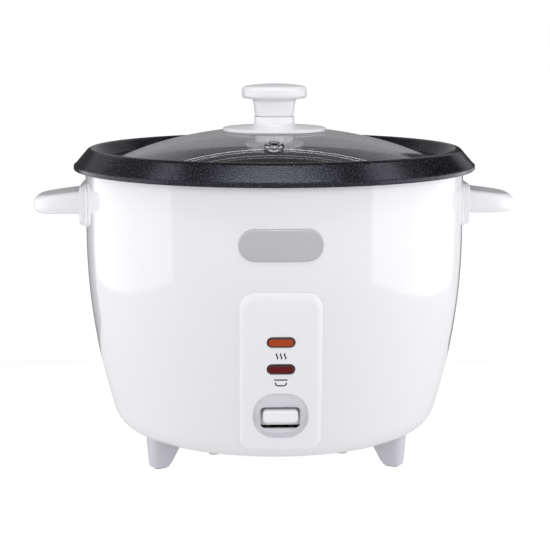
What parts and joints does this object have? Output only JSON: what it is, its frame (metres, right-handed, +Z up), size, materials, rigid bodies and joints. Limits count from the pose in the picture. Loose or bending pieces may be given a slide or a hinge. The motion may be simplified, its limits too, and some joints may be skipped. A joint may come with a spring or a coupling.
{
  "type": "rice cooker",
  "caption": "White round rice cooker with side handles, dark non-stick pot, domed glass lid with knob, and a front panel with indicator lamps and a cook lever.",
  "frame": {"origin": "on the floor under the middle of the housing", "axes": "+Z up, -Y to the front with the control panel, +X to the right handle as seen from the front"},
  "size_m": [0.2736, 0.228, 0.2132],
  "materials": {
    "white_enamel": "gloss enamel",
    "white_plastic": "gloss, moulded",
    "pot_coating": "satin non-stick with fine speckle",
    "lid_glass": "clear, polished",
    "chrome": "polished",
    "sheet_steel": "zinc plated sheet",
    "screw_steel": "zinc plated",
    "spring_steel": "drawn wire",
    "aluminium_sheet": "drawn, satin",
    "cast_aluminium": "cast, turned top",
    "amber_lens": "clear tinted",
    "red_lens": "clear tinted",
    "lamp_glass": "clear",
    "badge_grey": "satin",
    "foot_rubber": "matt",
    "silicone": "matt",
    "black_plastic": "fine grain",
    "ceramic": "unglazed",
    "ferrite": "sintered",
    "brass": "bright",
    "mica": "pressed mica",
    "wire_sheath": "silicone sheath"
  },
  "bodies": {
    "housing": {"outer_shell": "white_enamel", "control_panel": "white_plastic", "handle_left": "white_plastic", "handle_right": "white_plastic", "foot_front_left": "white_plastic", "foot_front_right": "white_plastic", "foot_rear": "white_plastic", "base_plate": "sheet_steel", "heater_posts": "sheet_steel", "heater_terminals": "sheet_steel", "sensor_holder": "sheet_steel", "lever_bracket": "sheet_steel", "lever_pin": "sheet_steel", "fuse_clip": "sheet_steel", "thermal_fuse": "sheet_steel", "base_screws": "screw_steel", "foot_screws": "screw_steel", "heater_screws": "screw_steel", "holder_screws": "screw_steel", "panel_screws": "screw_steel", "handle_screws": "screw_steel", "inlet_screws": "screw_steel", "inner_liner": "aluminium_sheet", "bracket_rivets": "aluminium_sheet", "warmer_rivets": "aluminium_sheet", "heating_plate": "cast_aluminium", "upper_lens": "amber_lens", "lower_lens": "red_lens", "neon_lamps": "lamp_glass", "badge_plate": "badge_grey", "pad_front_left": "foot_rubber", "pad_front_right": "foot_rubber", "pad_rear": "foot_rubber", "power_inlet": "black_plastic", "micro_switch": "black_plastic", "lamp_holder": "black_plastic", "terminal_beads": "ceramic", "inlet_pins": "brass", "switch_tabs": "brass", "warmer_element": "mica", "wires": "wire_sheath"},
    "sensor": {"sensor_cup": "aluminium_sheet", "sensor_ferrite": "ferrite", "sensor_spring": "spring_steel"},
    "magnet": {"magnet_ring": "ferrite", "magnet_rod": "sheet_steel", "magnet_spring": "spring_steel"},
    "plunger": {"switch_plunger": "white_plastic"},
    "lever": {"switch_lever": "sheet_steel", "switch_paddle": "white_plastic"},
    "pot": {"inner_pot": "pot_coating", "pot_corner": "pot_coating", "pot_floor": "pot_coating"},
    "lid": {"lid_glass": "lid_glass", "vent_eyelet": "chrome", "knob_base": "white_plastic", "knob_cap": "white_plastic", "knob_screw": "screw_steel", "knob_washer": "chrome", "knob_gasket": "silicone"}
  },
  "joints": [
    {"name": "pot_lift", "type": "slide", "parent": "housing", "child": "pot", "axis": [0, 0, 1], "range_m": [0, 0.125]},
    {"name": "lid_lift", "type": "slide", "parent": "pot", "child": "lid", "axis": [0, 0, 1], "range_m": [0, 0.06]},
    {"name": "switch_press", "type": "hinge", "parent": "housing", "child": "lever", "pos_m": [0, -0.05198, 0.035], "axis": [1, 0, 0], "range_deg": [0, 4.6], "stiffness_Nm_per_rad": 0.05, "springref_deg": -5.73},
    {"name": "magnet_rise", "type": "slide", "parent": "housing", "child": "magnet", "axis": [0, 0, 1], "range_m": [0, 0.0045], "deforming": ["magnet_spring"]},
    {"name": "plunger_press", "type": "slide", "parent": "housing", "child": "plunger", "axis": [0, 0, -1], "range_m": [0, 0.0017]},
    {"name": "sensor_rise", "type": "slide", "parent": "housing", "child": "sensor", "axis": [0, 0, 1], "range_m": [0, 0.0031], "deforming": ["sensor_spring"]}
  ],
  "couplings": [
    {"joint": "magnet_rise", "follows": "switch_press", "m_per_rad": 0.054},
    {"joint": "plunger_press", "follows": "switch_press", "m_per_rad": 0.0197},
    {"joint": "sensor_rise", "follows": "pot_lift", "ratio": 0.024}
  ]
}
